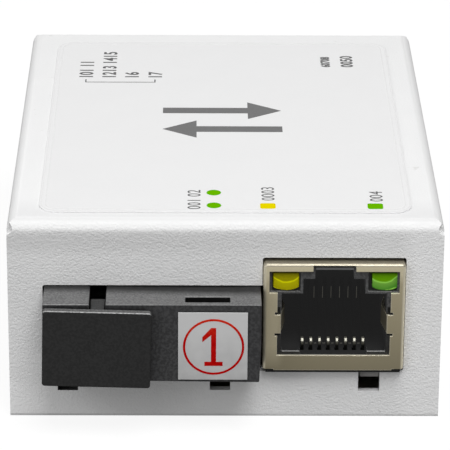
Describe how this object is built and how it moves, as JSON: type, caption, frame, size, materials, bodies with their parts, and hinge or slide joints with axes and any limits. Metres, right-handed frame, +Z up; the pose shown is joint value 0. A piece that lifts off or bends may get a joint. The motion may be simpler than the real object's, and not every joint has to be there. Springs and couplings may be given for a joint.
{
  "type": "fibre media converter",
  "caption": "Small white metal box that joins a fibre link to a network cable, with a capped fibre port and a shielded jack in front, and power and slide switches behind.",
  "frame": {"origin": "centre of the case's underside, midway between its sides and between its front and rear panels", "axes": "+Z up out of the base plate, -Y out of the front panel, +X to the right seen from the front"},
  "size_m": [0.0506, 0.0727, 0.0252],
  "materials": {
    "aluminium": "plain",
    "black_cap": "soft matt moulding",
    "black_moulding": "fine-grained moulding",
    "board_green": "solder mask over glass fibre board",
    "ceramic": "ground",
    "chip_black": "moulded epoxy",
    "clear_film": "insulating film",
    "clear_guide": "clear moulding",
    "gold": "gold plated",
    "green_light": "tinted clear moulding",
    "lamp": "clear epoxy",
    "nickel_shield": "nickel plated sheet, satin",
    "slider_white": "moulded",
    "sticker": "printed, matt",
    "switch_body": "moulded",
    "tinned": "tinned",
    "white_coat": "fine powder coat, satin",
    "white_film": "printed film, satin",
    "yellow_light": "tinted clear moulding",
    "zinc_steel": "zinc plated"
  },
  "bodies": {
    "converter": {"base_plate": "white_coat", "board_screws": "zinc_steel", "board_standoffs": "zinc_steel", "capacitors": "aluminium", "case_cover": "white_coat", "cover_screws": "zinc_steel", "crystal": "aluminium", "dc_jack_housing": "black_moulding", "dc_jack_pin": "tinned", "dc_jack_spring": "tinned", "dip_switch_body": "switch_body", "dip_switch_pins": "tinned", "heat_sink": "aluminium", "insulating_sheet": "clear_film", "laser_can": "gold", "light_guide": "clear_guide", "main_board": "board_green", "main_chip": "chip_black", "main_chip_leads": "tinned", "memory_chip": "chip_black", "memory_chip_leads": "tinned", "optical_barrel": "zinc_steel", "port_sticker": "sticker", "power_inductor": "chip_black", "receiver_can": "gold", "regulator": "chip_black", "rj45_contacts": "gold", "rj45_housing": "black_moulding", "rj45_led_green": "green_light", "rj45_led_leads": "tinned", "rj45_led_yellow": "yellow_light", "rj45_shield": "nickel_shield", "sc_base": "black_moulding", "sc_ceramic_sleeve": "ceramic", "sc_housing": "black_moulding", "sc_latch_arms": "black_moulding", "sc_module_board": "board_green", "sc_pins": "gold", "sc_posts": "tinned", "sc_sleeve_holder": "black_moulding", "small_parts": "ceramic", "status_lamps": "lamp", "top_overlay": "white_film", "transformer": "chip_black", "transformer_leads": "tinned"},
    "cap": {"dust_cap": "black_cap"},
    "slider_one": {"dip_slider_1": "slider_white"},
    "slider_two": {"dip_slider_2": "slider_white"},
    "slider_three": {"dip_slider_3": "slider_white"},
    "slider_four": {"dip_slider_4": "slider_white"}
  },
  "joints": [
    {"name": "cap_pull", "type": "slide", "parent": "converter", "child": "cap", "axis": [0, -1, 0], "range_m": [0, 0.006]},
    {"name": "switch_one", "type": "slide", "parent": "converter", "child": "slider_one", "axis": [0, 0, 1], "range_m": [0, 0.0016]},
    {"name": "switch_two", "type": "slide", "parent": "converter", "child": "slider_two", "axis": [0, 0, 1], "range_m": [0, 0.0016]},
    {"name": "switch_three", "type": "slide", "parent": "converter", "child": "slider_three", "axis": [0, 0, 1], "range_m": [0, 0.0016]},
    {"name": "switch_four", "type": "slide", "parent": "converter", "child": "slider_four", "axis": [0, 0, 1], "range_m": [0, 0.0016]}
  ]
}
